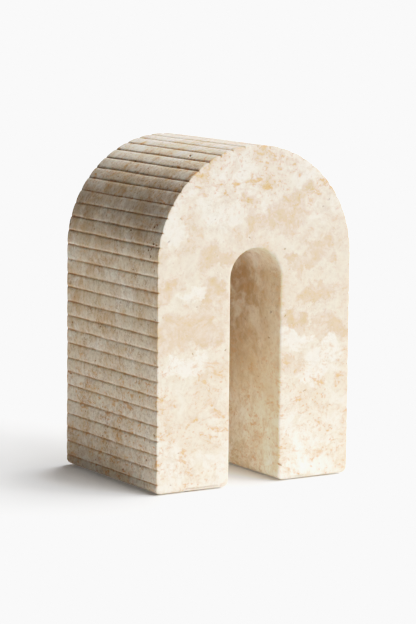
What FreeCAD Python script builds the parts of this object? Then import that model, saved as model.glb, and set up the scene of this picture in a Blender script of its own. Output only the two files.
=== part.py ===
"""Arched stone book end: a ribbed block of travertine with a round-topped slot, on four felt pads.

Frame: millimetres, +Z up. The origin is the middle of the ground under the pads. The smooth front face
looks along -Y, the slot runs right through along Y, and the ribs go up both sides and over the arch.
"""
import FreeCAD, Part
import math
import os
import Sketcher

TOLERANCE = 1e-4

DIMENSIONS = {
    # the whole object
    "overall_height": 150.0,
    "overall_width": 100.0,
    "overall_depth": 80.0,
    # the slot; its height is from the ground to the crown of its round top
    "slot_width": 26.0,
    "slot_height": 105.0,
    # grooves sawn along the depth, evenly spaced from the lowest one up to the crown
    "lowest_groove_height": 4.9,
    "grooves_per_side": 15,
    "grooves_on_arch": 25,
    "groove_width": 1.3,
    "groove_depth": 0.7,
    # rounded edges
    "foot_corner_radius": 2.5,
    "face_edge_radius": 0.8,
    # self-adhesive pads, two under each foot
    "pad_diameter": 20.0,
    "felt_thickness": 0.45,
    "adhesive_thickness": 0.15,
    "pad_distance_in_depth": 50.0,
}

# lengths and angles worked out from the sheet, as expressions that features are bound to
PAD_HEIGHT = "(Dims.felt_thickness + Dims.adhesive_thickness)"
ARCH_RADIUS = "(Dims.overall_width / 2)"
ARCH_CENTRE = "(Dims.overall_height - Dims.overall_width / 2)"
SLOT_RADIUS = "(Dims.slot_width / 2)"
SLOT_CENTRE = "(Dims.slot_height - Dims.slot_width / 2)"
FOOT_CENTRE = "((Dims.overall_width + Dims.slot_width) / 4)"
HALF_OUTLINE = f"({ARCH_CENTRE} + pi * {ARCH_RADIUS} / 2)"
PITCHES_TO_CROWN = "(Dims.grooves_per_side + (Dims.grooves_on_arch - 1) / 2)"
GROOVE_PITCH = f"(({HALF_OUTLINE} - Dims.lowest_groove_height) / {PITCHES_TO_CROWN})"
ARCH_SPAN = f"((Dims.grooves_on_arch - 1) * {GROOVE_PITCH} / {ARCH_RADIUS} * 180 / pi)"

doc = FreeCAD.newDocument("book_end")
sheet = doc.addObject("Spreadsheet::Sheet", "Dims")
for row, (alias, value) in enumerate(DIMENSIONS.items(), start=1):
    sheet.set(f"A{row}", alias)
    sheet.set(f"B{row}", str(value))
    sheet.setAlias(f"B{row}", alias)
doc.recompute()


def value_of(rule):
    """The number that an expression over the sheet comes to."""
    return float(sheet.evalExpression(rule))


def new_sketch(body, name):
    """A sketch on the body's own XZ plane: its x is the row's X, and its y is the row's Z."""
    sketch = body.newObject("Sketcher::SketchObject", name)
    plane = next(item for item in body.Origin.OriginFeatures if item.Role == "XZ_Plane")
    sketch.AttachmentSupport = [(plane, "")]
    sketch.MapMode = "FlatFace"
    return sketch


def bind(sketch, constraint, rule):
    """Adds a driving constraint to a sketch and binds its value to an expression."""
    index = sketch.addConstraint(constraint)
    sketch.setExpression(f"Constraints[{index}]", rule)


def draw_arch(sketch, radius_rule, centre_rule, bottom_rule):
    """Draws an upside-down U, closed along its bottom: two straight sides under a half circle."""
    radius, centre, bottom = value_of(radius_rule), value_of(centre_rule), value_of(bottom_rule)
    right_foot = FreeCAD.Vector(radius, bottom, 0)
    left_foot = FreeCAD.Vector(-radius, bottom, 0)
    circle = Part.Circle(FreeCAD.Vector(0, centre, 0), FreeCAD.Vector(0, 0, 1), radius)
    base = sketch.addGeometry(Part.LineSegment(left_foot, right_foot))
    right = sketch.addGeometry(Part.LineSegment(right_foot, FreeCAD.Vector(radius, centre, 0)))
    arc = sketch.addGeometry(Part.ArcOfCircle(circle, 0, math.pi))
    left = sketch.addGeometry(Part.LineSegment(FreeCAD.Vector(-radius, centre, 0), left_foot))
    sketch.addConstraint(Sketcher.Constraint("Coincident", base, 2, right, 1))
    sketch.addConstraint(Sketcher.Constraint("Coincident", left, 2, base, 1))
    sketch.addConstraint(Sketcher.Constraint("Tangent", right, 2, arc, 1))
    sketch.addConstraint(Sketcher.Constraint("Tangent", arc, 2, left, 1))
    sketch.addConstraint(Sketcher.Constraint("Horizontal", base))
    sketch.addConstraint(Sketcher.Constraint("Vertical", right))
    sketch.addConstraint(Sketcher.Constraint("Vertical", left))
    sketch.addConstraint(Sketcher.Constraint("PointOnObject", arc, 3, -2))
    bind(sketch, Sketcher.Constraint("Radius", arc, radius), radius_rule)
    bind(sketch, Sketcher.Constraint("DistanceY", -1, 1, arc, 3, centre), centre_rule)
    bind(sketch, Sketcher.Constraint("DistanceY", -1, 1, base, 1, bottom), bottom_rule)


def draw_groove(sketch, side, surface_rule):
    """Draws a V whose mouth is on the outer surface, to the right (side 1) or the left (side -1).

    Its sides carry on past the surface by the groove's own depth, where it is twice as wide.
    """
    surface, depth, width = (
        value_of(surface_rule), value_of("Dims.groove_depth"), value_of("Dims.groove_width"))
    tip = FreeCAD.Vector(side * (surface - depth), 0, 0)
    upper = FreeCAD.Vector(side * (surface + depth), width, 0)
    lower = FreeCAD.Vector(side * (surface + depth), -width, 0)
    rising = sketch.addGeometry(Part.LineSegment(tip, upper))
    back = sketch.addGeometry(Part.LineSegment(upper, lower))
    falling = sketch.addGeometry(Part.LineSegment(lower, tip))
    sketch.addConstraint(Sketcher.Constraint("Coincident", rising, 2, back, 1))
    sketch.addConstraint(Sketcher.Constraint("Coincident", back, 2, falling, 1))
    sketch.addConstraint(Sketcher.Constraint("Coincident", falling, 2, rising, 1))
    sketch.addConstraint(Sketcher.Constraint("PointOnObject", rising, 1, -1))
    sketch.addConstraint(Sketcher.Constraint("Symmetric", back, 1, back, 2, -1))
    bind(sketch, Sketcher.Constraint("DistanceX", -1, 1, rising, 1, tip.x),
         f"{side} * ({surface_rule} - Dims.groove_depth)")
    bind(sketch, Sketcher.Constraint("DistanceX", -1, 1, back, 1, upper.x),
         f"{side} * ({surface_rule} + Dims.groove_depth)")
    bind(sketch, Sketcher.Constraint("DistanceY", back, 2, back, 1, 2 * width), "2 * Dims.groove_width")


def through_feature(body, kind, name, sketch, length_rule):
    """A pad or a pocket that runs the same way to both sides of its sketch."""
    feature = body.newObject(f"PartDesign::{kind}", name)
    feature.Profile = sketch
    feature.SideType = "Symmetric"
    feature.setExpression("Length", length_rule)
    doc.recompute()
    return feature


def round_edges(body, name, chosen, radius_rule):
    """Rounds the edges of the body so far of which every point is chosen."""
    base = body.Tip
    names = [
        f"Edge{number}" for number, edge in enumerate(base.Shape.Edges, start=1)
        if all(chosen(point) for point in edge.discretize(5))]
    fillet = body.newObject("PartDesign::Fillet", name)
    fillet.Base = (base, names)
    fillet.setExpression("Radius", radius_rule)
    doc.recompute()


def repeat_up_side(body, name, groove, sketch):
    """Repeats one groove up a straight side."""
    pattern = body.newObject("PartDesign::LinearPattern", name)
    pattern.Originals = [groove]
    pattern.Direction = (sketch, ["V_Axis"])
    pattern.setExpression("Length", f"(Dims.grooves_per_side - 1) * {GROOVE_PITCH}")
    pattern.setExpression("Occurrences", "Dims.grooves_per_side")
    body.Tip = pattern
    doc.recompute()


def repeat_over_arch(body, name, groove, sketch):
    """Repeats one groove over the arch, round the arch's own axis."""
    pattern = body.newObject("PartDesign::PolarPattern", name)
    pattern.Originals = [groove]
    pattern.Axis = (sketch, ["N_Axis"])
    pattern.setExpression("Angle", ARCH_SPAN)
    pattern.setExpression("Occurrences", "Dims.grooves_on_arch")
    body.Tip = pattern
    doc.recompute()


def make_stone():
    """The block of stone: outline, slot, rounded edges, then the grooves."""
    body = doc.addObject("PartDesign::Body", "stone_arch")
    body.Label = "stone_arch"

    block_sketch = new_sketch(body, "block_outline")
    draw_arch(block_sketch, ARCH_RADIUS, ARCH_CENTRE, PAD_HEIGHT)
    through_feature(body, "Pad", "block", block_sketch, "Dims.overall_depth")

    slot_sketch = new_sketch(body, "slot_outline")
    draw_arch(slot_sketch, SLOT_RADIUS, SLOT_CENTRE, f"-{PAD_HEIGHT}")
    through_feature(body, "Pocket", "slot", slot_sketch, "2 * Dims.overall_depth")

    underside = value_of(PAD_HEIGHT)
    corners = (value_of(SLOT_RADIUS), value_of(ARCH_RADIUS))
    half_depth = value_of("Dims.overall_depth / 2")

    def on_foot_corner(point):
        at_corner = any(abs(abs(point.x) - corner) < TOLERANCE for corner in corners)
        return at_corner and abs(point.z - underside) < TOLERANCE

    def on_end_face(point):
        return abs(abs(point.y) - half_depth) < TOLERANCE

    round_edges(body, "foot_corners", on_foot_corner, "Dims.foot_corner_radius")
    round_edges(body, "face_edges", on_end_face, "Dims.face_edge_radius")

    for side, side_name in ((1, "right"), (-1, "left")):
        sketch = new_sketch(body, f"{side_name}_groove_section")
        sketch.setExpression("AttachmentOffset.Base.y", "Dims.lowest_groove_height")
        draw_groove(sketch, side, ARCH_RADIUS)
        groove = through_feature(
            body, "Pocket", f"lowest_{side_name}_groove", sketch, "2 * Dims.overall_depth")
        repeat_up_side(body, f"{side_name}_grooves", groove, sketch)

    sketch = new_sketch(body, "arch_groove_section")
    sketch.setExpression("AttachmentOffset.Base.y", ARCH_CENTRE)
    sketch.setExpression("AttachmentOffset.Rotation.Angle", f"90 - {ARCH_SPAN} / 2")
    draw_groove(sketch, 1, ARCH_RADIUS)
    groove = through_feature(body, "Pocket", "first_arch_groove", sketch, "2 * Dims.overall_depth")
    repeat_over_arch(body, "arch_grooves", groove, sketch)
    return body


def make_disc(label, bottom_rule, thickness_rule, side, end):
    """A flat disc under the left (side -1) or right foot, near the front (end -1) or the back."""
    disc = doc.addObject("Part::Cylinder", label)
    disc.Label = label
    disc.setExpression("Radius", "Dims.pad_diameter / 2")
    disc.setExpression("Height", thickness_rule)
    disc.setExpression("Placement.Base.x", f"{side} * {FOOT_CENTRE}")
    disc.setExpression("Placement.Base.y", f"{end} * Dims.pad_distance_in_depth / 2")
    disc.setExpression("Placement.Base.z", bottom_rule)
    return disc


subparts = [make_stone()]
for end, end_name in ((-1, "front"), (1, "back")):
    for side, side_name in ((-1, "left"), (1, "right")):
        place = f"{end_name}_{side_name}"
        subparts.append(make_disc(f"felt_pad_{place}", "0", "Dims.felt_thickness", side, end))
        subparts.append(make_disc(
            f"pad_adhesive_{place}", "Dims.felt_thickness", "Dims.adhesive_thickness", side, end))
doc.recompute()

for item in doc.Objects:
    if "Invalid" in item.State or "Error" in item.State:
        raise RuntimeError(f"{item.Label} did not compute: {item.State}")

# the stone must be as large as the sheet says, and lose to each groove what its section takes away
stone = subparts[0]
smooth = doc.getObject("face_edges").Shape.Volume
groove_count = 2 * DIMENSIONS["grooves_per_side"] + DIMENSIONS["grooves_on_arch"]
expected = groove_count * value_of("Dims.groove_width * Dims.groove_depth / 2 * Dims.overall_depth")
print(f"groove pitch {value_of(GROOVE_PITCH):.3f} mm, {groove_count} grooves")
print(f"volume sawn out {smooth - stone.Shape.Volume:.0f} mm3, expected about {expected:.0f} mm3")
if abs((smooth - stone.Shape.Volume) / expected - 1) > 0.1:
    raise RuntimeError("the grooves do not take away what they should")

os.makedirs("parts", exist_ok=True)
for subpart in subparts:
    shape = subpart.Shape
    if shape.isNull() or not shape.isValid():
        raise RuntimeError(f"{subpart.Label} has no valid shape")
    shape.exportStep(f"parts/{subpart.Label}.step")
    box = shape.BoundBox
    print(f"{subpart.Label}: {shape.Volume:.1f} mm3, X {box.XMin:.2f} to {box.XMax:.2f}, "
          f"Y {box.YMin:.2f} to {box.YMax:.2f}, Z {box.ZMin:.2f} to {box.ZMax:.2f}")
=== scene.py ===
"""Looks of the arched stone book end: travertine block, felt pads, a pale floor and soft studio light."""

import math

import bmesh
import bpy
import numpy as np
from mathutils import Matrix, Vector, kdtree


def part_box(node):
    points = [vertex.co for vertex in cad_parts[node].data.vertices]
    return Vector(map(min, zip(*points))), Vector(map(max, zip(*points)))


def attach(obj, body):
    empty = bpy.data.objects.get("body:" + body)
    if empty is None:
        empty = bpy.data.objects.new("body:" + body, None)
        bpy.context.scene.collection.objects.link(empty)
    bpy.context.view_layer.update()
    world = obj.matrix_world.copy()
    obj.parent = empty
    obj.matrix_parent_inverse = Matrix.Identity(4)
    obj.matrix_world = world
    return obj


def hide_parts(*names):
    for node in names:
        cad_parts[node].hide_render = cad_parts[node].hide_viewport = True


MM = 0.001
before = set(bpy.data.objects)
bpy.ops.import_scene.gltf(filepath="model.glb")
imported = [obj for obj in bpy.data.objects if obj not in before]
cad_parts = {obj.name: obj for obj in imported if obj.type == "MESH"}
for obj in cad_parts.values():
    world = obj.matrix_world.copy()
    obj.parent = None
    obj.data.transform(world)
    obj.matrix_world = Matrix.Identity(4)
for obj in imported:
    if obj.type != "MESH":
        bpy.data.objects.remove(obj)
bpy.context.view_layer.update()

# ------------------------------------------------- sizes in millimetres, measured on the CAD stone
STONE = "stone_arch"
LOW, HIGH = (np.array(corner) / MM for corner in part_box(STONE))
UNDERSIDE = float(LOW[2])
OUTER_RADIUS = float(HIGH[0])
HALF_DEPTH = float(HIGH[1])
ARCH_CENTRE = float(HIGH[2]) - OUTER_RADIUS
cad_points = np.array([tuple(v.co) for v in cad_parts[STONE].data.vertices]) / MM
SLOT_RADIUS = float(np.abs(cad_points[cad_points[:, 2] < ARCH_CENTRE / 2, 0]).min())
SLOT_CENTRE = float(cad_points[np.abs(cad_points[:, 0]) < 1.0, 2].min()) - SLOT_RADIUS

# the grooves, spaced as on the CAD stone, with one on the crown
GROOVES = 55
LOWEST_GROOVE = 4.9
OUTLINE = 2 * ARCH_CENTRE + math.pi * OUTER_RADIUS
GROOVE_PITCH = (OUTLINE - 2 * LOWEST_GROOVE) / (GROOVES - 1)
GROOVE_HALF_WIDTH = 0.68
GROOVE_DEPTH = 0.52
RIB_CROWN = 0.08

# how uneven the handwork is, at most: grooves stray one by one, in slow waves and in quick ones, ribs
# stand lower than their neighbours, faces wave either way and edges are chipped
GROOVE_STRAY, SLOW_STRAY, QUICK_STRAY = 0.22, 0.13, 0.05
RIB_DROP = 0.10
FACE_WAVE = 0.05
CHIP_DEPTH = 0.45

# rounded edges
OUTER_FOOT_CORNER = 2.5
SLOT_FOOT_CORNER = 3.0
OUTER_EDGE, FOOT_EDGE, SLOT_EDGE = 0.65, 1.4, 1.0

# how finely the mesh follows the shape
GROOVE_LINES = (-1.7, -1.05, -0.5, 0.0, 0.5, 1.05, 1.7)
RIB_LINES = (0.2, 0.5, 0.8)
CORNER_STEPS = 8
LEG_STEPS = 36
EDGE_STEPS = 3
DEPTH_STEPS = 64
SHORTEST_SPLIT = 0.24

# the many small pits, and where the plainest holes are: distance up the left side and along the arch,
# and depth
PIT_COUNT = 120
HOLE_RADII, HOLE_DEPTH = (0.8, 0.55), 0.7
HOLES = ((109.2, -34.6), (108.8, -37.2), (116.4, -32.4), (117.4, -34.0), (103.6, -33.5), (14.6, -31.0))


# ------------------------------------------------------------------------------ the block of stone
def lattice_noise(x, y, seed):
    """Smooth noise from -1 to 1, one lattice cell per unit."""
    table = np.random.default_rng(seed).uniform(-1, 1, (256, 256))
    x, y = np.broadcast_arrays(np.asarray(x, float), np.asarray(y, float))
    column, row = np.floor(x).astype(int), np.floor(y).astype(int)
    across, along = x - column, y - row
    across, along = (part * part * (3 - 2 * part) for part in (across, along))
    near, far = (
        table[(column + step) % 256, row % 256] * (1 - along)
        + table[(column + step) % 256, (row + 1) % 256] * along
        for step in (0, 1))
    return near * (1 - across) + far * across


def outer_path(distance):
    """Points and outward normals, as x and z, by distance along the outside from the left ground."""
    angle = np.clip((distance - ARCH_CENTRE) / OUTER_RADIUS, 0, math.pi)
    normal = np.stack([-np.cos(angle), np.sin(angle)], -1)
    point = normal * OUTER_RADIUS + (0, ARCH_CENTRE)
    drop = np.minimum(distance - ARCH_CENTRE, 0) + np.minimum(OUTLINE - distance - ARCH_CENTRE, 0)
    return point + np.stack([0 * drop, drop], -1), normal


def corner_arc(count, centre_x, radius, outward):
    """Points and normals round a foot's corner, from the underside up. outward is 1 or -1 in x."""
    angle = np.linspace(0, math.pi / 2, count + 1)[:-1]
    normal = np.stack([outward * np.sin(angle), -np.cos(angle)], -1)
    return normal * radius + (centre_x, UNDERSIDE + radius), normal


def groove_runs(depth_at):
    """Centre, half width and depth of every groove at every step through the stone."""
    number = np.arange(GROOVES)[:, None]
    rng = np.random.default_rng(11)
    nominal = LOWEST_GROOVE + GROOVE_PITCH * number
    stray = rng.uniform(-GROOVE_STRAY, GROOVE_STRAY, (GROOVES, 1))
    centre = nominal + stray * (number > 0) * (number < GROOVES - 1)
    centre = centre + SLOW_STRAY * lattice_noise(depth_at / 17, number * 3.7, 12)
    centre = centre + QUICK_STRAY * lattice_noise(depth_at / 4, number * 5.3, 13)
    chipped = np.clip(lattice_noise(depth_at / 2.6, number * 7.1, 14) - 0.55, 0, 1)
    half = GROOVE_HALF_WIDTH * (1 + 0.14 * lattice_noise(depth_at / 8, number * 2.9, 15) + 1.1 * chipped)
    on_arch = (nominal > ARCH_CENTRE) & (nominal < OUTLINE - ARCH_CENTRE)
    deep = GROOVE_DEPTH * (1 + 0.14 * lattice_noise(depth_at / 12, number * 4.3, 16) + 0.2 * on_arch)
    return centre, half, deep


def outer_chain(depth_at):
    """The outside of the section at every step in depth: points, normals, inset and groove share."""
    centre, half, deep = groove_runs(depth_at)
    start = np.full(depth_at.shape, UNDERSIDE + OUTER_FOOT_CORNER)
    end = OUTLINE - start
    rib_inset = np.random.default_rng(21).uniform(0, RIB_DROP, GROOVES + 1)
    distance, inset, share = [start], [np.zeros_like(start)], [np.zeros_like(start)]

    def add(where, depth, part):
        distance.append(where)
        inset.append(depth)
        share.append(np.full_like(start, part))

    add((start + centre[0] - GROOVE_LINES[-1] * half[0]) / 2, 0 * start, 0)
    for k in range(GROOVES):
        for line in GROOVE_LINES:
            slope = 1 - math.hypot(line, 0.18)
            part = (slope + math.hypot(slope, 0.25)) / 2 - 0.02
            shoulder = RIB_CROWN + (rib_inset[k] if line < 0 else rib_inset[k + 1]) * (1 - part)
            add(centre[k] + line * half[k], shoulder + deep[k] * part, part)
        if k + 1 < GROOVES:
            low = centre[k] + GROOVE_LINES[-1] * half[k]
            high = centre[k + 1] + GROOVE_LINES[0] * half[k + 1]
            for part in RIB_LINES:
                crown = RIB_CROWN * (2 * part - 1) ** 2 + rib_inset[k + 1]
                add(low + (high - low) * part, crown + 0 * start, 0)
    add((end + centre[-1] + GROOVE_LINES[-1] * half[-1]) / 2, 0 * start, 0)
    add(end, 0 * start, 0)

    point, normal = outer_path(np.array(distance))
    steps = len(depth_at)
    foot_x = OUTER_RADIUS - OUTER_FOOT_CORNER
    for side in (-1, 1):
        arc, arc_normal = corner_arc(CORNER_STEPS, side * foot_x, OUTER_FOOT_CORNER, side)
        arc, arc_normal = (np.repeat(part[:, None], steps, 1) for part in (arc, arc_normal))
        if side < 0:
            point = np.concatenate([arc, point])
            normal = np.concatenate([arc_normal, normal])
        else:
            point = np.concatenate([point, arc[::-1]])
            normal = np.concatenate([normal, arc_normal[::-1]])
    margin = np.zeros((CORNER_STEPS, steps))
    inset = np.concatenate([margin, np.array(inset), margin])
    share = np.concatenate([margin, np.array(share), margin])
    return point, normal, inset, share


def slot_chain(count, spring):
    """The slot's side of the section, left foot to right foot: points and normals pointing into it.

    count is how many steps it has in all, and spring how many of them come before the round top.
    """
    corner_steps = CORNER_STEPS // 2
    foot_x = SLOT_RADIUS + SLOT_FOOT_CORNER
    left, left_normal = corner_arc(corner_steps, -foot_x, SLOT_FOOT_CORNER, 1)
    right, right_normal = corner_arc(corner_steps, foot_x, SLOT_FOOT_CORNER, -1)
    rise = np.linspace(UNDERSIDE + SLOT_FOOT_CORNER, SLOT_CENTRE, spring - corner_steps + 1)[:-1]
    turn = np.linspace(math.pi, 0, count - 2 * spring + 1)
    radial = np.stack([np.cos(turn), np.sin(turn)], -1)
    wall = np.stack([np.full_like(rise, SLOT_RADIUS), rise], -1)
    flat = np.stack([np.ones_like(rise), np.zeros_like(rise)], -1)
    point = np.concatenate([
        left, wall * (-1, 1), radial * SLOT_RADIUS + (0, SLOT_CENTRE), wall[::-1], right[::-1]])
    normal = np.concatenate([left_normal, flat, -radial, -flat, right_normal[::-1]])
    return point, normal


def smooth_round(values, reach):
    """A running mean along a closed loop."""
    padded = np.concatenate([values[-reach:], values, values[:reach]])
    return np.convolve(padded, np.ones(2 * reach + 1) / (2 * reach + 1), "valid")


def section_loop(depth_at):
    """The section at every step in depth, round the outside, the right foot, the slot and the left foot.

    Gives points, normals, how deep the grooves cut, the shares of groove and of sawn side, and how many
    of the points lie on the outside.
    """
    steps = len(depth_at)
    outside, outside_normal, cut, share = outer_chain(depth_at)
    heights = outside[::2, steps // 2, 1]
    spring = int(np.argmax(heights >= ARCH_CENTRE))
    slot, slot_normal = slot_chain((len(outside) - 1) // 2, spring)

    across = np.linspace(0, 1, LEG_STEPS + 1)[1:-1, None]
    right_foot = outside[-1, 0] + (slot[-1] - outside[-1, 0]) * across
    left_foot = slot[0] + (outside[0, 0] - slot[0]) * across
    down = np.repeat([[0.0, -1.0]], LEG_STEPS - 1, 0)
    rest = np.concatenate([right_foot, slot[::-1], left_foot])
    rest_normal = np.concatenate([down, slot_normal[::-1], down])
    point = np.concatenate([outside, np.repeat(rest[:, None], steps, 1)])
    normal = np.concatenate([outside_normal, np.repeat(rest_normal[:, None], steps, 1)])
    flat = np.zeros((len(rest), steps))
    cut, share, sawn = (np.concatenate([part, flat]) for part in (cut, share, np.ones_like(cut)))
    sawn[:, 0] = sawn[:, -1] = 0
    return point, normal, cut, share, sawn, len(outside)


def edge_radii(outside_count, slot_count):
    """Radii of the front and the back edge all the way round the section, with a few small chips."""
    edge = np.concatenate([
        np.full(outside_count, OUTER_EDGE), np.full(LEG_STEPS - 1, FOOT_EDGE),
        np.full(slot_count, SLOT_EDGE), np.full(LEG_STEPS - 1, FOOT_EDGE)])
    edge[:CORNER_STEPS] = edge[outside_count - CORNER_STEPS:outside_count] = FOOT_EDGE
    edge = smooth_round(edge, 5)
    around = np.arange(len(edge)) / 4.5
    radii = []
    for seed in (31, 32):
        chips = np.clip(lattice_noise(around, 0.5, seed) - 0.5, 0, 1)
        radii.append(edge * (1 + 0.12 * lattice_noise(around / 5, 2.5, seed)) + 2 * CHIP_DEPTH * chips)
    return radii


def rounded_rings(front, back):
    """Depth of every point of every ring, and how far the rounded edges draw it in."""
    turn = np.linspace(0, math.pi / 2, EDGE_STEPS + 1)[:-1]
    depth = np.empty((len(front), DEPTH_STEPS + 2 * EDGE_STEPS + 1))
    drawn_in = np.zeros_like(depth)
    depth[:, :EDGE_STEPS] = -HALF_DEPTH + front[:, None] * (1 - np.cos(turn))
    drawn_in[:, :EDGE_STEPS] = front[:, None] * (1 - np.sin(turn))
    depth[:, -EDGE_STEPS:] = (HALF_DEPTH - back[:, None] * (1 - np.cos(turn)))[:, ::-1]
    drawn_in[:, -EDGE_STEPS:] = (back[:, None] * (1 - np.sin(turn)))[:, ::-1]
    between = np.linspace(0, 1, DEPTH_STEPS + 1)
    first, last = (-HALF_DEPTH + front)[:, None], (HALF_DEPTH - back)[:, None]
    depth[:, EDGE_STEPS:-EDGE_STEPS] = first + (last - first) * between
    return depth, drawn_in


def tube_faces(loop, steps):
    """Faces from each ring of points to the next, round the section and from front to back."""
    faces = []
    for base in range(0, (steps - 1) * loop, loop):
        for i in range(loop):
            after = (i + 1) % loop
            faces.append((base + i, base + after, base + loop + after, base + loop + i))
    return faces


def close_end(points, base, loop, outside_count):
    """Closes the end whose ring starts at point number base. Gives all points and the end's faces.

    A grid fills it from the outside of the section, which has two steps to each of its rows, to the slot.
    """
    rows = (outside_count - 1) // 2 + 1
    row, inside = np.arange(rows), np.arange(LEG_STEPS - 1)
    grid = np.empty((rows, LEG_STEPS + 1), int)
    grid[:, 0] = base + 2 * row
    grid[:, -1] = base + outside_count + LEG_STEPS - 2 + rows - row
    grid[0, 1:-1] = base + loop - 1 - inside
    grid[-1, 1:-1] = base + outside_count + inside
    grid[1:-1, 1:-1] = len(points) + np.arange((rows - 2) * (LEG_STEPS - 1)).reshape(rows - 2, -1)
    across = np.linspace(0, 1, LEG_STEPS + 1)[1:-1, None]
    near, far = points[grid[1:-1, 0]][:, None], points[grid[1:-1, -1]][:, None]
    made = near + (far - near) * across

    faces = []
    for j in range(rows - 1):
        low, middle, high = base + 2 * j, base + 2 * j + 1, base + 2 * j + 2
        faces.append((low, middle, grid[j, 1]))
        faces.append((middle, grid[j + 1, 1], grid[j, 1]))
        faces.append((middle, high, grid[j + 1, 1]))
        for q in range(1, LEG_STEPS):
            faces.append((grid[j, q], grid[j + 1, q], grid[j + 1, q + 1], grid[j, q + 1]))
    return np.concatenate([points, made.reshape(-1, 3)]), faces


def stone_shell():
    """The whole block as points in millimetres, faces, and each point's shares of groove and sawn side."""
    depth_at = np.linspace(-HALF_DEPTH, HALF_DEPTH, DEPTH_STEPS + 2 * EDGE_STEPS + 1)
    point, normal, cut, share, sawn, outside_count = section_loop(depth_at)
    loop, steps = cut.shape
    slot_count = loop - outside_count - 2 * (LEG_STEPS - 1)
    depth, drawn_in = rounded_rings(*edge_radii(outside_count, slot_count))

    # hand-finished faces are never quite flat
    uneven = FACE_WAVE * (1 + lattice_noise(np.arange(loop)[:, None] / 23, depth_at / 19, 41))
    inset = ((cut + uneven) ** 4 + drawn_in ** 4) ** 0.25
    inset[:, 0] = np.maximum(inset[:, 0], drawn_in[:, 0])
    section = point - normal * inset[..., None]
    shell = np.stack([section[..., 0], depth, section[..., 1]], -1)

    points = shell.transpose(1, 0, 2).reshape(-1, 3)
    faces = tube_faces(loop, steps)
    for base in (0, (steps - 1) * loop):
        points, closing = close_end(points, base, loop, outside_count)
        faces += closing
    shares = np.zeros((len(points), 2))
    shares[:loop * steps] = np.stack([share.T.reshape(-1), sawn.T.reshape(-1)], -1)
    return points, [tuple(int(i) for i in face) for face in faces], shares


def refine_near(bm, spots, rounds):
    """Splits the faces round each spot, a centre and a reach in millimetres, several times."""
    for _ in range(rounds):
        bm.faces.ensure_lookup_table()
        tree = kdtree.KDTree(len(bm.faces))
        for face in bm.faces:
            tree.insert(face.calc_center_median(), face.index)
        tree.balance()
        chosen = {index for centre, reach in spots for _, index, _ in tree.find_range(centre, reach)}
        edges = {
            edge for index in chosen for edge in bm.faces[index].edges
            if edge.calc_length() > SHORTEST_SPLIT}
        bmesh.ops.subdivide_edges(bm, edges=list(edges), cuts=1, use_grid_fill=True)
        bmesh.ops.triangulate(bm, faces=[face for face in bm.faces if len(face.verts) > 4])
        bm.faces.index_update()


def carve_pits(bm, pits, layer):
    """Presses small hollows into the surface. Each pit: centre, normal, long axis, radii, depth."""
    bm.verts.ensure_lookup_table()
    bm.normal_update()
    tree = kdtree.KDTree(len(bm.verts))
    for vert in bm.verts:
        tree.insert(vert.co, vert.index)
    tree.balance()
    for number, (centre, normal, along, long_radius, short_radius, deep) in enumerate(pits):
        beside = normal.cross(along)
        for _, index, _ in tree.find_range(centre, long_radius * 1.3):
            vert = bm.verts[index]
            if vert.normal.dot(normal) < 0.1:
                continue
            offset = vert.co - centre
            a, b = offset.dot(along), offset.dot(beside)
            wobble = 1 + 0.28 * float(lattice_noise(2.3 * math.atan2(b, a) + 40, number * 1.7, 51))
            away = math.hypot(a / long_radius, b / short_radius) * wobble
            if away < 1:
                part = 1 - away * away
                part = part * part * (3 - 2 * part) if away > 0.4 else 1 - 0.35 * away * away
                vert.co -= normal * deep * part
                vert[layer] = max(vert[layer], min(1.0, 1.5 * part))


def pick_pits(bm, count, seed):
    """Places for pits, spread over the whole surface, longer along the stone's bedding."""
    rng = np.random.default_rng(seed)
    bm.faces.ensure_lookup_table()
    area = np.array([face.calc_area() for face in bm.faces])
    chosen = rng.choice(len(area), count, p=area / area.sum(), replace=False)
    pits = []
    for index in chosen:
        face = bm.faces[int(index)]
        normal = face.normal.copy()
        level = normal.cross(Vector((0, 0, 1)))
        if level.length < 0.3:
            level = Vector((1, 0, 0)) - normal * normal.x
        level.normalize()
        tilt = rng.normal(0, 0.45)
        along = Matrix.Rotation(tilt, 3, normal) @ level
        short = float(np.clip(rng.lognormal(-1.05, 0.4), 0.2, 0.8))
        long = short * float(rng.uniform(1.1, 2.4))
        pits.append((face.calc_center_median(), normal, along, long, short, short * rng.uniform(0.7, 1.1)))
    return pits


def plain_holes():
    """The plainest holes of the left side, as pits."""
    pits = []
    for distance, depth in HOLES:
        point, normal = (part[0] for part in outer_path(np.array([distance])))
        centre = Vector((point[0], depth, point[1]))
        facing = Vector((normal[0], 0, normal[1]))
        pits.append((centre, facing, Vector((0, 1, 0)), *HOLE_RADII, HOLE_DEPTH))
    return pits


def build_stone():
    """The stone as one closed mesh, which stands for the CAD stone."""
    points, faces, shares = stone_shell()
    mesh = bpy.data.meshes.new("travertine_arch")
    mesh.from_pydata([tuple(point) for point in points], [], faces)
    bm = bmesh.new()
    bm.from_mesh(mesh)
    bmesh.ops.recalc_face_normals(bm, faces=bm.faces)
    groove_layer = bm.verts.layers.float.new("groove")
    sawn_layer = bm.verts.layers.float.new("sawn")
    pit_layer = bm.verts.layers.float.new("pit")
    for vert, (in_groove, on_side) in zip(bm.verts, shares):
        vert[groove_layer] = in_groove
        vert[sawn_layer] = on_side
    pits = pick_pits(bm, PIT_COUNT, 61) + plain_holes()
    refine_near(bm, [(pit[0], pit[3] * 1.25 + 0.45) for pit in pits], 2)
    carve_pits(bm, pits, pit_layer)
    bmesh.ops.scale(bm, vec=(MM, MM, MM), verts=bm.verts)
    bm.to_mesh(mesh)
    bm.free()
    mesh.polygons.foreach_set("use_smooth", [True] * len(mesh.polygons))
    stone = bpy.data.objects.new("travertine_arch", mesh)
    bpy.context.scene.collection.objects.link(stone)
    return stone


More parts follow.
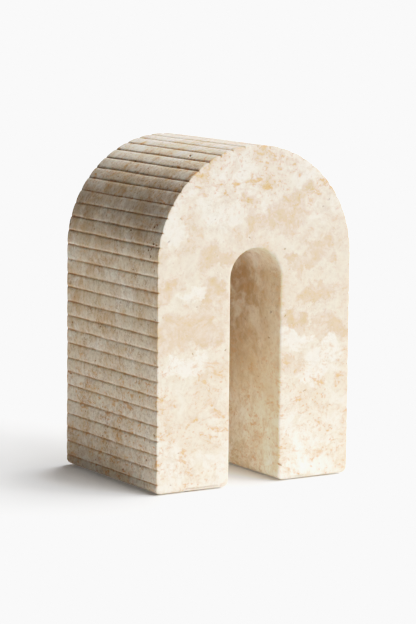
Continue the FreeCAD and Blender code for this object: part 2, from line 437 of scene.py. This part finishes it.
def build_disc(name, centre, radius, low, high, rim, seed):
    """A thin die-cut disc: rounded rim, and an outline and underside that are a little uneven."""
    turn = np.linspace(0, math.pi / 2, 5)
    inner, lower, upper = radius - rim, low + rim, high - rim
    flat = np.array((0.15, 0.35, 0.55, 0.75, 0.9)) * inner
    reach = np.concatenate([flat, inner + rim * np.sin(turn), inner + rim * np.cos(turn), flat[::-1]])
    level = np.concatenate([
        0 * flat + low, lower - rim * np.cos(turn), upper + rim * np.sin(turn), 0 * flat + high])
    angle = np.linspace(0, 2 * math.pi, 72, endpoint=False)
    across = reach[:, None] * (0.994 + 0.005 * lattice_noise(angle * 4, seed, 71))
    lift = 0.04 * (high - low) * (1 + lattice_noise(across / 1.5 + seed, angle * 3, 72))
    height = level[:, None] + lift * (level[:, None] < upper)
    ring = np.stack([centre[0] + across * np.cos(angle), centre[1] + across * np.sin(angle), height], -1)
    rings, steps = len(ring), len(angle)
    ends = [(centre[0], centre[1], low), (centre[0], centre[1], high)]
    points = np.concatenate([ring.reshape(-1, 3), ends]) * MM
    faces = []
    for i in range(steps):
        after = (i + 1) % steps
        faces.append((rings * steps, after, i))
        faces.append((rings * steps + 1, (rings - 1) * steps + i, (rings - 1) * steps + after))
        for k in range(rings - 1):
            base, above = k * steps, (k + 1) * steps
            faces.append((base + i, base + after, above + after, above + i))
    mesh = bpy.data.meshes.new(name)
    mesh.from_pydata([tuple(point) for point in points], [], faces)
    mesh.polygons.foreach_set("use_smooth", [True] * len(mesh.polygons))
    disc = bpy.data.objects.new(name, mesh)
    bpy.context.scene.collection.objects.link(disc)
    return disc


# the material slot, node name, piece name and rim radius in millimetres of each kind of disc
DISC_KINDS = (("felt", "felt_pad_", "felt_disc_", 0.15), ("adhesive", "pad_adhesive_", "film_disc_", 0.05))

stone = build_stone()
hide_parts(STONE)
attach(stone, "root")

discs = {"felt": [], "adhesive": []}
for number, place_name in enumerate(("front_left", "front_right", "back_left", "back_right")):
    for slot, node, made, rim in DISC_KINDS:
        low, high = (np.array(corner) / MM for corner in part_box(node + place_name))
        middle = (low + high) / 2
        disc = build_disc(made + place_name, middle, high[0] - middle[0], low[2], high[2], rim, number + 3)
        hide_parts(node + place_name)
        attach(disc, "root")
        discs[slot].append(disc)


# ----------------------------------------------------------------------------------- node materials
def linear(*srgb):
    """A colour given as 0 to 255 on screen, as Blender's linear RGBA."""
    parts = [value / 255 for value in srgb]
    return tuple(v / 12.92 if v <= 0.04045 else ((v + 0.055) / 1.055) ** 2.4 for v in parts) + (1.0,)


class Graph:
    """A material's node tree, with one short call for each kind of node."""

    def __init__(self, name):
        self.material = bpy.data.materials.new(name)
        self.material.use_nodes = True
        self.tree = self.material.node_tree
        self.tree.nodes.clear()
        self.output = self.tree.nodes.new("ShaderNodeOutputMaterial")
        self.shader = self.tree.nodes.new("ShaderNodeBsdfPrincipled")
        self.tree.links.new(self.shader.outputs[0], self.output.inputs["Surface"])

    def put(self, value, socket):
        if isinstance(value, bpy.types.NodeSocket):
            self.tree.links.new(value, socket)
        else:
            socket.default_value = value

    def node(self, kind, sockets=(), **settings):
        made = self.tree.nodes.new(kind)
        for name, value in settings.items():
            setattr(made, name, value)
        for name, value in dict(sockets).items():
            self.put(value, made.inputs[name])
        return made

    def place(self):
        """The point on the object, in millimetres."""
        made = self.node("ShaderNodeTexCoord").outputs["Object"]
        return self.vector("SCALE", made, scale=1 / MM)

    def attribute(self, name):
        return self.node("ShaderNodeAttribute", attribute_name=name).outputs["Fac"]

    def vector(self, operation, a, b=None, scale=None, output="Vector"):
        made = self.node("ShaderNodeVectorMath", operation=operation)
        self.put(a, made.inputs[0])
        if b is not None:
            self.put(b, made.inputs[1])
        if scale is not None:
            self.put(scale, made.inputs["Scale"])
        return made.outputs[output]

    def math(self, operation, a, b=0.0, clamp=False):
        made = self.node("ShaderNodeMath", operation=operation, use_clamp=clamp)
        self.put(a, made.inputs[0])
        self.put(b, made.inputs[1])
        return made.outputs[0]

    def product(self, first, *others):
        """All of these multiplied together."""
        for other in others:
            first = self.math("MULTIPLY", first, other)
        return first

    def between(self, share, none, whole):
        """Goes evenly from one value to another as a share goes from 0 to 1."""
        return self.math("ADD", self.math("MULTIPLY", share, whole - none), none)

    def axis(self, vector, name):
        return self.node("ShaderNodeSeparateXYZ", {0: vector}).outputs[name]

    def distance(self, where, centre):
        return self.vector("LENGTH", self.vector("SUBTRACT", where, centre), output="Value")

    def noise(self, where, size, detail=3.0, roughness=0.55, colour=False):
        """Noise whose blotches are about this many millimetres across."""
        made = self.node("ShaderNodeTexNoise", {
            "Vector": where, "Scale": 1 / size, "Detail": detail, "Roughness": roughness})
        return made.outputs["Color" if colour else "Fac"]

    def warp(self, where, size, reach, detail=3.0, roughness=0.55):
        """An offset that wanders either way, through a range of this reach in millimetres."""
        wander = self.noise(where, size, detail, roughness, colour=True)
        return self.vector("SCALE", self.vector("SUBTRACT", wander, (0.5, 0.5, 0.5)), scale=reach)

    def cells(self, where, size, feature="F1", output="Distance"):
        made = self.node("ShaderNodeTexVoronoi", {"Vector": where, "Scale": 1 / size}, feature=feature)
        return made.outputs[output]

    def band(self, value, low, high, to_low=0.0, to_high=1.0):
        """Rises smoothly from one value to another as the input goes from low to high."""
        made = self.node("ShaderNodeMapRange", {
            "Value": value, "From Min": low, "From Max": high, "To Min": to_low, "To Max": to_high},
            interpolation_type="SMOOTHSTEP")
        return made.outputs["Result"]

    def mix(self, share, a, b):
        made = self.node("ShaderNodeMix", data_type="RGBA")
        self.put(share, made.inputs[0])
        self.put(a, made.inputs[6])
        self.put(b, made.inputs[7])
        return made.outputs[2]

    def paint(self, under, share, *srgb):
        """Lays a colour, given as 0 to 255 on screen, over another."""
        return self.mix(share, under, linear(*srgb))

    def bump(self, height, distance, strength=1.0):
        return self.node("ShaderNodeBump", {
            "Height": height, "Distance": distance, "Strength": strength}).outputs[0]


# the clasts and white masses that come out on the front face: centre and radii in millimetres
CLASTS = (
    ((-45, -40, 89), (6, 8, 5)), ((-43, -40, 70), (9, 10, 9)), ((-26, -40, 70), (9, 10, 9)),
    ((-22, -40, 87), (7, 8, 6)), ((-20, -40, 102), (8, 9, 5)), ((-1, -40, 116), (7, 8, 5)),
    ((16, -40, 119), (10, 12, 7)), ((32, -40, 101), (8, 10, 5)), ((21, -40, 96), (3, 5, 6)),
    ((31, -40, 83), (9, 10, 4)), ((20, -40, 73), (7, 8, 5)), ((39, -40, 67), (10, 10, 5)),
    ((20, -40, 51), (7, 8, 5)), ((-4, -40, 128), (5, 6, 3)), ((27, -40, 131), (5, 6, 4)))
WHITES = (
    ((-31, -40, 86), (7, 8, 3)), ((20, -40, 64), (9, 10, 4)), ((36, -40, 57), (10, 10, 5)),
    ((32, -40, 47), (12, 12, 5)), ((-42, -40, 114), (7, 8, 9)), ((-16, -40, 122), (8, 9, 5)),
    ((-36, -40, 55), (14, 12, 4)))


def outside_of(g, where, lumps):
    """How far out a point lies from the nearest of these ellipsoids, 1 being its surface."""
    nearest = 9.0
    for centre, radii in lumps:
        offset = g.vector("DIVIDE", g.vector("SUBTRACT", where, centre), radii)
        nearest = g.math("MINIMUM", g.vector("LENGTH", offset, output="Value"), nearest)
    return nearest


def cream_ground(g, place, bent, height, cloud):
    """A cream ground, clouded and finely mottled, with painted light: paler at the feet and on the crown,
    and a near-white pool low in the slot.
    """
    # painted light: the ground is paler at the feet, where the bright floor lights them, and on the crown,
    # under the top light
    ground = g.mix(g.band(height, 4, 64), linear(230, 220, 201), linear(222, 208, 183))
    ground = g.paint(ground, g.band(height, 96, 134), 233, 224, 208)
    # painted light: a near-white pool round the foot of the slot's right wall, where light comes in from
    # the front
    ground = g.paint(ground, g.band(g.distance(bent, (13, -10, 6)), 45, 18), 254, 248, 236)
    clouds = g.band(cloud, 0.42, 0.62, 0.0, 0.40)
    patch = g.band(g.noise(bent, 7, 4, 0.65), 0.46, 0.64, 0.0, 0.40)
    mottle = g.band(g.noise(bent, 1.7, 4, 0.7), 0.46, 0.68, 0.0, 0.36)
    share = g.math("ADD", g.math("ADD", clouds, patch), mottle, True)
    return g.paint(ground, share, 206, 179, 141)


def with_clasts(g, colour, place, bent, belt):
    """Beige clasts, some of them tan inside, a brown heart in the slot's right wall, and white calcite.

    On the front face they are the ones listed above. Behind it they are slightly flattened cells.
    """
    bedded = g.vector("MULTIPLY", bent, (1.0, 1.0, 1.15))
    inner = g.band(g.axis(place, "Y"), -36, -18)
    tint = g.node("ShaderNodeSeparateColor", {0: g.cells(bedded, 17, "F1", "Color")}).outputs
    rim = g.cells(bedded, 17, "DISTANCE_TO_EDGE")
    body = g.product(g.band(rim, 0.0, 0.16), g.band(tint[0], 0.25, 0.45), g.between(belt, 0.10, 0.95))
    lumpy = g.vector("ADD", place, g.warp(place, 11, 26.0, 6, 0.66))
    clast = outside_of(g, lumpy, CLASTS)
    body = g.math("MAXIMUM", g.product(body, inner), g.band(clast, 1.30, 0.80))
    body = g.product(body, g.band(g.noise(bent, 5, 5, 0.7), 0.36, 0.60, 0.30, 1.0))
    colour = g.paint(colour, g.product(body, 0.85), 203, 172, 135)
    tan = g.product(g.band(g.noise(bedded, 10, 4, 0.6), 0.44, 0.66), g.band(tint[1], 0.2, 0.8))
    colour = g.paint(colour, g.product(body, tan, 0.5), 192, 150, 108)
    heart = g.product(g.band(g.distance(bent, (14, 1, 76)), 37, 18),
                      g.band(g.noise(bent, 6, 5, 0.7), 0.38, 0.60, 0.1, 0.66))
    colour = g.paint(colour, heart, 160, 114, 61)

    # the calcite lies in soft clouds behind the front, in masses on it, and thinly round its clasts
    white = g.product(g.band(g.noise(bedded, 15, 4, 0.55), 0.50, 0.66), g.band(belt, 0.1, 0.8), inner)
    white = g.math("MAXIMUM", white, g.band(outside_of(g, lumpy, WHITES), 1.25, 0.75))
    seam = g.product(g.band(clast, 1.15, 1.30), g.band(clast, 1.55, 1.35))
    white = g.math("ADD", g.product(white, 0.75), g.product(seam, 0.2), True)
    return g.paint(colour, white, 234, 226, 209)


def with_orange(g, colour, place, bent, belt):
    """Orange haze, wisps, specks and flecks, gathered in patches and mostly away from the clasts."""
    clear = g.between(belt, 1.0, 0.4)
    gather = g.product(g.band(g.noise(bent, 10, 4), 0.38, 0.56), clear)
    haze = g.product(g.band(g.noise(bent, 5, 5, 0.7), 0.50, 0.72), gather)
    colour = g.paint(colour, g.product(haze, 0.5), 214, 184, 138)
    layered = g.vector("MULTIPLY", bent, (0.45, 0.45, 1.0))
    wisp = g.product(g.band(g.noise(layered, 2.4, 4, 0.6), 0.53, 0.68), gather)
    colour = g.paint(colour, g.product(wisp, 0.85), 205, 150, 94)
    speck = g.product(g.band(g.noise(place, 1.5, 4, 0.65), 0.55, 0.64), gather)
    colour = g.paint(colour, g.product(speck, 0.6), 198, 130, 56)
    fleck = g.product(g.band(g.cells(bent, 2.8), 0.24, 0.15), g.band(g.noise(place, 6, 3), 0.50, 0.60))
    return g.paint(colour, g.product(fleck, clear, 0.6), 206, 130, 56)


def with_grit_and_slot_light(g, colour, place, height, sawn):
    """Fine grit, which shows least on the honed faces, and painted light on the slot's walls, strongest
    low down.
    """
    facing = g.axis(g.node("ShaderNodeTexCoord").outputs["Normal"], "Y")
    honed = g.band(g.math("ABSOLUTE", facing), 0.5, 0.8)
    grit = g.band(g.noise(place, 1.8, 4, 0.75), 0.48, 0.64, 0.0, 0.34)
    grit = g.product(grit, g.between(honed, 1.0, 0.3), g.between(sawn, 0.85, 1.0))
    colour = g.paint(colour, grit, 158, 128, 92)
    # painted light: the slot's walls are painted paler, most of all low down where the floor lights them
    slot_painted_light = g.product(g.between(sawn, 1.0, 0.0), g.between(honed, 1.0, 0.0))
    slot_painted_light = g.product(slot_painted_light, g.band(height, 76, 46, 0.06, 0.24))
    return g.paint(colour, slot_painted_light, 252, 234, 196)


def with_rust_dirt_and_shade(g, colour, place, bent, height, sawn, streak):
    """Rusty veins and dots, strongest on the sawn sides, and the dirt and painted shade that only those
    sides hold.
    """
    upright = g.vector("MULTIPLY", bent, (1.0, 1.0, 0.4))
    ridge = g.math("ABSOLUTE", g.math("SUBTRACT", g.noise(upright, 9, 6, 0.72), 0.5))
    vein = g.product(g.band(ridge, 0.014, 0.002), g.band(g.noise(place, 9, 2), 0.47, 0.60))
    colour = g.paint(colour, g.product(vein, g.between(sawn, 0.2, 0.75)), 150, 96, 52)

    # specks and streaks of dirt that thin out on the crown, and painted shade on the shoulder and low at
    # the back corner
    dirt_and_shade = g.math("ADD", g.band(g.noise(place, 1.6, 5, 0.75), 0.49, 0.72, 0.0, 0.60),
                  g.band(streak, 0.50, 0.78, 0.0, 0.45), True)
    # painted shade: the shoulder, which faces away from the lights, is darkened
    shoulder = g.product(g.band(height, 97, 118), g.band(height, 144, 126),
                         g.band(g.noise(bent, 9, 4, 0.6), 0.34, 0.62, 0.15, 0.65))
    # painted shade: the lower back corner of the left side, by the floor, is darkened
    corner = g.band(g.distance(bent, (-50, 40, 6)), 36, 8, 0.0, 0.5)
    dirt_and_shade = g.math("ADD", g.product(dirt_and_shade, g.band(height, 132, 148, 1.0, 0.3)),
                  g.math("MAXIMUM", shoulder, corner), True)
    # one brown lays both the dirt and the painted shade
    colour = g.paint(colour, g.product(dirt_and_shade, sawn, 0.75), 148, 118, 84)

    dots = g.product(g.band(g.cells(place, 3.4), 0.17, 0.08), g.band(g.noise(place, 8, 2), 0.50, 0.62))
    return g.paint(colour, g.product(dots, g.between(sawn, 0.3, 0.9)), 140, 78, 40)


def travertine():
    """Travertine that is honed on the faces and in the slot, and rough where the ribs were sawn."""
    g = Graph("travertine")
    place = g.place()
    bent = g.vector("ADD", place, g.vector("ADD", g.warp(place, 24, 15.0), g.warp(place, 4, 1.6)))
    cloud = g.noise(bent, 20, 4, 0.6)
    streak = g.noise(g.vector("MULTIPLY", place, (1.0, 1.0, 0.2)), 0.9, 4, 0.7)
    sawn, groove, pit = (g.attribute(name) for name in ("sawn", "groove", "pit"))

    # the clasts gather in a belt from the middle of the legs to above the slot
    height = g.axis(bent, "Z")
    belt = g.product(g.band(height, 42, 66), g.band(height, 132, 112))
    colour = cream_ground(g, place, bent, height, cloud)
    colour = with_clasts(g, colour, place, bent, belt)
    colour = with_orange(g, colour, place, bent, belt)
    colour = with_grit_and_slot_light(g, colour, place, height, sawn)
    colour = with_rust_dirt_and_shade(g, colour, place, bent, height, sawn, streak)

    # pits have a rusty skin, darkened further as painted shade in the hollows, and the grooves' deep parts
    # hold brown dust with painted shade
    colour = g.paint(colour, g.math("MULTIPLY", pit, 0.75, True), 132, 80, 42)
    dust_and_shade = g.band(g.noise(place, 6, 3), 0.35, 0.65, 0.35, 0.85)
    colour = g.paint(colour, g.product(g.band(groove, 0.25, 0.75), dust_and_shade), 158, 106, 58)
    g.put(colour, g.shader.inputs["Base Color"])

    # honed faces have a soft sheen; sawn sides, grooves and pits are dull
    grain = g.noise(place, 0.6, 3, 0.6)
    rough = g.math("ADD", g.band(cloud, 0.35, 0.65, 0.40, 0.52), g.product(grain, 0.12))
    hollow = g.math("ADD", g.math("ADD", pit, groove), g.product(sawn, 0.7), True)
    rough = g.math("ADD", rough, g.product(hollow, 0.32), True)
    g.put(rough, g.shader.inputs["Roughness"])

    # relief: fine grain and open pores everywhere, coarser grain and saw marks on the sides
    pores = g.product(g.band(g.cells(place, 1.9), 0.26, 0.12), g.band(g.noise(bent, 7, 2), 0.52, 0.66))
    relief = g.math("SUBTRACT", g.product(grain, 0.3), pores)
    coarse = g.math("ADD", streak, g.noise(place, 1.6, 4, 0.7))
    relief = g.math("ADD", relief, g.product(coarse, sawn, 1.6))
    g.put(g.bump(relief, 0.12 * MM, 0.8), g.shader.inputs["Normal"])

    # light sinks in a little, which warms the sharp edges
    g.shader.inputs["Subsurface Weight"].default_value = 0.35
    g.shader.inputs["Subsurface Radius"].default_value = (1.0, 0.6, 0.35)
    g.shader.inputs["Subsurface Scale"].default_value = 2.5 * MM
    g.shader.inputs["IOR"].default_value = 1.5
    return g.material


def felt():
    """Pressed wool felt, with matted fibres that run every way."""
    g = Graph("felt")
    place = g.place()
    tangled = g.vector("ADD", place, g.vector("SCALE", g.noise(place, 1.4, 3, colour=True), scale=1.6))
    along = g.noise(g.vector("MULTIPLY", tangled, (0.25, 1.0, 0.6)), 0.14, 3, 0.6)
    over = g.noise(g.vector("MULTIPLY", tangled, (1.0, 0.25, 0.6)), 0.14, 3, 0.6)
    fibres = g.math("MAXIMUM", along, over)
    colour = g.mix(g.band(fibres, 0.45, 0.72), linear(150, 128, 104), linear(216, 196, 168))
    colour = g.paint(colour, g.band(g.noise(place, 3, 3), 0.4, 0.7, 0.0, 0.35), 186, 160, 130)
    g.put(colour, g.shader.inputs["Base Color"])
    g.put(g.band(fibres, 0.3, 0.8, 0.98, 0.86), g.shader.inputs["Roughness"])
    g.put(g.bump(fibres, 0.06 * MM), g.shader.inputs["Normal"])
    g.shader.inputs["Sheen Weight"].default_value = 0.3
    return g.material


def adhesive():
    """Milky adhesive film with faint ripples and tiny trapped bubbles."""
    g = Graph("adhesive")
    place = g.place()
    bubbles = g.band(g.cells(place, 0.5), 0.22, 0.12)
    cloudy = g.noise(place, 2.0, 4, 0.6)
    colour = g.mix(g.band(cloudy, 0.35, 0.65), linear(228, 226, 216), linear(240, 238, 230))
    colour = g.paint(colour, g.product(bubbles, 0.5), 250, 250, 248)
    g.put(colour, g.shader.inputs["Base Color"])
    g.put(g.band(cloudy, 0.3, 0.7, 0.30, 0.46), g.shader.inputs["Roughness"])
    g.put(g.bump(g.math("ADD", bubbles, cloudy), 0.02 * MM), g.shader.inputs["Normal"])
    return g.material


stone.data.materials.append(travertine())
for slot, made in (("felt", felt()), ("adhesive", adhesive())):
    for disc in discs[slot]:
        disc.data.materials.append(made)


# ---------------------------------------------------------------------- floor, light and the camera
FLOOR_RADIUS = 0.42

# how bright the surroundings are as light on the object, and as the camera sees them
SURROUNDING_LIGHT = 0.015
BACKDROP = 2.0


def pale_floor():
    """A round white sheet, bright enough to read as plain white and faintly lit from below."""
    bm = bmesh.new()
    bmesh.ops.create_circle(bm, cap_ends=True, segments=96, radius=FLOOR_RADIUS)
    mesh = bpy.data.meshes.new("floor")
    bm.to_mesh(mesh)
    bm.free()
    floor = bpy.data.objects.new("floor", mesh)
    bpy.context.scene.collection.objects.link(floor)
    g = Graph("floor")
    g.shader.inputs["Base Color"].default_value = (0.96, 0.96, 0.96, 1)
    g.shader.inputs["Roughness"].default_value = 0.95
    g.shader.inputs["Specular IOR Level"].default_value = 0.0
    g.shader.inputs["Emission Color"].default_value = (1, 1, 1, 1)
    g.shader.inputs["Emission Strength"].default_value = 0.06
    mesh.materials.append(g.material)


def sun(name, azimuth, elevation, strength, spread):
    """A soft, even light. Azimuth is from the front towards the right, spread the width of its disc."""
    azimuth, elevation = math.radians(azimuth), math.radians(elevation)
    towards = Vector((math.sin(azimuth) * math.cos(elevation), -math.cos(azimuth) * math.cos(elevation),
                      math.sin(elevation)))
    lamp = bpy.data.lights.new(name, "SUN")
    lamp.energy = strength
    lamp.angle = math.radians(spread)
    made = bpy.data.objects.new(name, lamp)
    made.rotation_mode = "QUATERNION"
    made.rotation_quaternion = towards.to_track_quat("Z", "Y")
    bpy.context.scene.collection.objects.link(made)


def studio():
    """Pale surroundings that light softly, and that the camera sees as bright as the floor."""
    world = bpy.data.worlds.new("studio")
    world.use_nodes = True
    tree = world.node_tree
    tree.nodes.clear()
    output = tree.nodes.new("ShaderNodeOutputWorld")
    mix = tree.nodes.new("ShaderNodeMixShader")
    path = tree.nodes.new("ShaderNodeLightPath")
    for socket, level in ((1, SURROUNDING_LIGHT), (2, BACKDROP)):
        shade = tree.nodes.new("ShaderNodeBackground")
        shade.inputs["Color"].default_value = (level, level, level, 1)
        tree.links.new(shade.outputs[0], mix.inputs[socket])
    tree.links.new(path.outputs["Is Camera Ray"], mix.inputs[0])
    tree.links.new(mix.outputs[0], output.inputs["Surface"])
    bpy.context.scene.world = world


def aim_camera(azimuth, elevation, roll, target, distance, lens):
    """A camera at the left and in front of the block, on the ray from its target. Angles in degrees."""
    azimuth, elevation, roll = (math.radians(angle) for angle in (azimuth, elevation, roll))
    back = Vector((-math.sin(azimuth) * math.cos(elevation), -math.cos(azimuth) * math.cos(elevation),
                   math.sin(elevation)))
    level = Vector((math.cos(azimuth), -math.sin(azimuth), 0))
    upright = back.cross(level)
    right = level * math.cos(roll) + upright * math.sin(roll)
    up = upright * math.cos(roll) - level * math.sin(roll)
    data = bpy.data.cameras.new("camera")
    data.lens = lens
    data.sensor_width = 36.0
    data.clip_end = 200.0
    camera = bpy.data.objects.new("camera", data)
    turned = Matrix((right, up, back)).transposed().to_4x4()
    camera.matrix_world = Matrix.Translation(Vector(target) + back * distance) @ turned
    bpy.context.scene.collection.objects.link(camera)
    bpy.context.scene.camera = camera


def film_response():
    """Shows colours plainly, but with highlights rolled off to a white just short of the brightest."""
    view = bpy.context.scene.view_settings
    view.view_transform = "Standard"
    view.use_curve_mapping = True
    mapping = view.curve_mapping
    mapping.clip_max_x = 2.0
    mapping.use_clip = False
    shoulder = ((0.50, 0.505), (0.62, 0.592), (0.83, 0.682), (1.05, 0.783), (1.35, 0.888))
    brightest = (1.56, 0.947)
    for channel in range(3):
        curve = mapping.curves[channel]
        curve.points[1].location = brightest
        for light, shown in shoulder:
            curve.points.new(light, shown)
    mapping.extend = "HORIZONTAL"
    mapping.update()


pale_floor()
studio()
sun("side", azimuth=89, elevation=45, strength=5.5, spread=74)
sun("front", azimuth=39, elevation=29, strength=2.2, spread=36)
sun("fill", azimuth=12, elevation=36, strength=1.6, spread=30)
aim_camera(azimuth=32.14, elevation=8.16, roll=0.52, target=(0.57 * MM, 0, 71.88 * MM),
           distance=1168.4 * MM, lens=149.9)
film_response()
